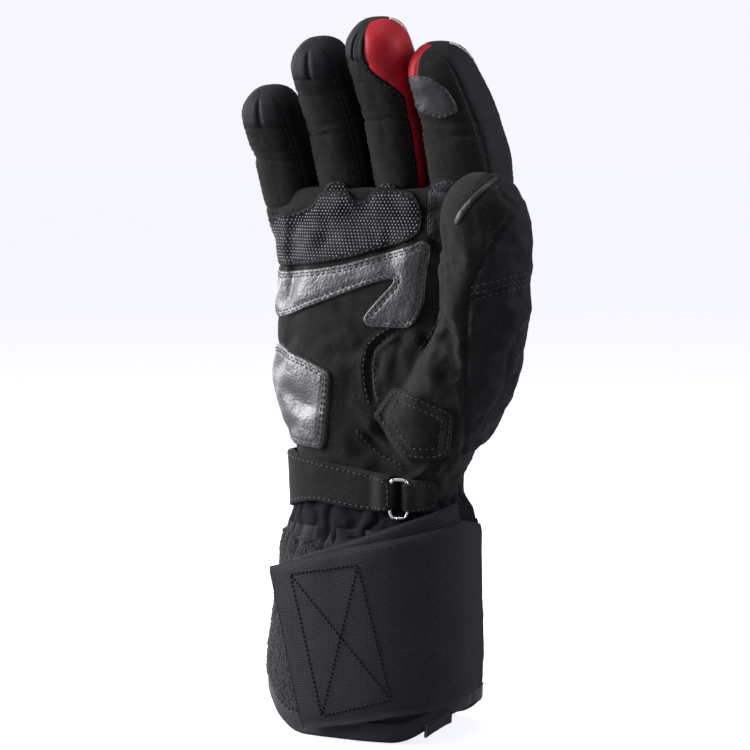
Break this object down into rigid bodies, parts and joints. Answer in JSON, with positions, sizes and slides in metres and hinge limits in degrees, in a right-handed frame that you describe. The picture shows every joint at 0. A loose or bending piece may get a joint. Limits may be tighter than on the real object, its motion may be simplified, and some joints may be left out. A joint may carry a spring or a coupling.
{
  "type": "ski glove",
  "caption": "Insulated right-hand ski glove with a long gauntlet cuff, leather palm patches, dotted grip panel, ring wrist strap, thumb wiper and a wide elastic cinch strap.",
  "frame": {"origin": "centre of the cuff opening, level with the hem that the glove stands on", "axes": "+Z towards the fingertips, +Y towards the back of the hand, +X towards the thumb side"},
  "size_m": [0.1527, 0.1043, 0.3282],
  "materials": {
    "suede": "brushed suede",
    "softshell": "smooth woven softshell",
    "insulation": "brushed fleece over padding",
    "red_leather": "smooth",
    "touch_leather": "matte conductive",
    "wiper_rubber": "satin",
    "dotted_grip": "matte with small silver dots",
    "gloss_leather": "glossy grained",
    "slider_plastic": "glossy",
    "ring_steel": "polished",
    "hem_binding": "woven binding",
    "loop_fabric": "brushed loop",
    "elastic": "ribbed elastic",
    "hook_plastic": "hook tape",
    "thread": "twisted sewing thread",
    "piping": "silver piping"
  },
  "bodies": {
    "cuff": {"cuff_shell": "softshell", "cuff_lining": "insulation", "cuff_hem": "hem_binding", "cuff_loop_panel": "loop_fabric", "cinch_underlay": "elastic", "hem_tab": "hem_binding"},
    "cinch_strap": {"cinch_strap": "elastic", "cinch_hook_pad": "hook_plastic"},
    "hand": {"palm_panel": "suede", "hand_back_panel": "softshell", "hand_lining": "insulation", "grip_panel": "dotted_grip", "palm_leather_overlay": "gloss_leather", "thumb_web_patch": "gloss_leather", "heel_leather_patch": "gloss_leather", "thenar_pad": "suede", "heel_slider": "slider_plastic", "wrist_strap": "suede", "wrist_strap_tab": "suede"},
    "wrist_ring": {"wrist_ring": "ring_steel"},
    "wrist_strap_end": {"wrist_strap_end": "suede"},
    "little_base": {"little_base_palm_panel": "suede", "little_base_back_panel": "softshell", "little_base_lining": "insulation"},
    "little_tip": {"little_tip_palm_panel": "suede", "little_tip_back_panel": "softshell", "little_tip_lining": "insulation", "little_fingertip_cap": "softshell"},
    "ring_base": {"ring_base_palm_panel": "suede", "ring_base_back_panel": "softshell", "ring_base_lining": "insulation"},
    "ring_tip": {"ring_tip_palm_panel": "suede", "ring_tip_back_panel": "softshell", "ring_tip_lining": "insulation", "ring_fingertip_cap": "softshell"},
    "middle_base": {"middle_base_palm_panel": "suede", "middle_base_back_panel": "softshell", "middle_base_lining": "insulation", "middle_base_red_sidewall": "red_leather"},
    "middle_tip": {"middle_tip_palm_panel": "suede", "middle_tip_back_panel": "softshell", "middle_tip_lining": "insulation", "middle_fingertip_cap": "softshell", "middle_tip_red_sidewall": "red_leather"},
    "index_base": {"index_base_palm_panel": "suede", "index_base_back_panel": "softshell", "index_base_lining": "insulation"},
    "index_tip": {"index_tip_palm_panel": "suede", "index_tip_back_panel": "softshell", "index_tip_lining": "insulation", "index_tip_red_sidewall": "red_leather", "index_touch_patch": "touch_leather"},
    "thumb_base": {"thumb_base_palm_panel": "suede", "thumb_base_outer_panel": "softshell", "thumb_base_lining": "insulation"},
    "thumb_tip": {"thumb_tip_palm_panel": "suede", "thumb_tip_outer_panel": "softshell", "thumb_tip_lining": "insulation", "thumb_wiper_blade": "wiper_rubber"}
  },
  "joints": [
    {"name": "wrist_flex", "type": "hinge", "parent": "cuff", "child": "hand", "pos_m": [0, 0, 0.097], "axis": [1, 0, 0], "range_deg": [-15, 15], "stiffness_Nm_per_rad": 1.4},
    {"name": "little_knuckle", "type": "hinge", "parent": "hand", "child": "little_base", "pos_m": [-0.0395, 0, 0.24], "axis": [0.9976, 0, 0.0698], "range_deg": [-15, 45], "stiffness_Nm_per_rad": 0.16},
    {"name": "little_middle_joint", "type": "hinge", "parent": "little_base", "child": "little_tip", "pos_m": [-0.04138, -0.00772, 0.26685], "axis": [0.9976, 0, 0.0698], "range_deg": [-12, 50], "stiffness_Nm_per_rad": 0.12},
    {"name": "ring_knuckle", "type": "hinge", "parent": "hand", "child": "ring_base", "pos_m": [-0.0108, 0, 0.246], "axis": [0.9986, 0, 0.0523], "range_deg": [-15, 45], "stiffness_Nm_per_rad": 0.16},
    {"name": "ring_middle_joint", "type": "hinge", "parent": "ring_base", "child": "ring_tip", "pos_m": [-0.01256, -0.00965, 0.2796], "axis": [0.9986, 0, 0.0523], "range_deg": [-12, 50], "stiffness_Nm_per_rad": 0.12},
    {"name": "middle_knuckle", "type": "hinge", "parent": "hand", "child": "middle_base", "pos_m": [0.0165, 0, 0.249], "axis": [0.9998, 0, 0.0175], "range_deg": [-15, 45], "stiffness_Nm_per_rad": 0.16},
    {"name": "middle_middle_joint", "type": "hinge", "parent": "middle_base", "child": "middle_tip", "pos_m": [0.01586, -0.01047, 0.28552], "axis": [0.9998, 0, 0.0175], "range_deg": [-12, 50], "stiffness_Nm_per_rad": 0.12},
    {"name": "index_knuckle", "type": "hinge", "parent": "hand", "child": "index_base", "pos_m": [0.0465, 0, 0.249], "axis": [1, 0, 0], "range_deg": [-15, 20], "stiffness_Nm_per_rad": 0.16},
    {"name": "index_middle_joint", "type": "hinge", "parent": "index_base", "child": "index_tip", "pos_m": [0.0465, -0.0091, 0.28072], "axis": [1, 0, 0], "range_deg": [-12, 30], "stiffness_Nm_per_rad": 0.12},
    {"name": "thumb_root_joint", "type": "hinge", "parent": "hand", "child": "thumb_base", "pos_m": [0.0675, -0.028, 0.19], "axis": [0.6283, -0.714, -0.309], "range_deg": [-15, 15], "stiffness_Nm_per_rad": 0.2},
    {"name": "thumb_tip_joint", "type": "hinge", "parent": "thumb_base", "child": "thumb_tip", "pos_m": [0.07337, -0.03681, 0.22231], "axis": [0.6283, -0.714, -0.309], "range_deg": [-8, 25], "stiffness_Nm_per_rad": 0.2},
    {"name": "ring_swivel", "type": "hinge", "parent": "hand", "child": "wrist_ring", "pos_m": [0.0303, -0.02969, 0.11], "axis": [0, 0, 1], "range_deg": [-4, 4]},
    {"name": "wrist_strap_peel", "type": "hinge", "parent": "hand", "child": "wrist_strap_end", "pos_m": [-0.038, 0.0163, 0.115], "axis": [0, 0, 1], "range_deg": [0, 90]},
    {"name": "cinch_strap_peel", "type": "hinge", "parent": "cuff", "child": "cinch_strap", "pos_m": [0.0565, 0.006, 0.06], "axis": [0, 0, 1], "range_deg": [0, 100]}
  ]
}
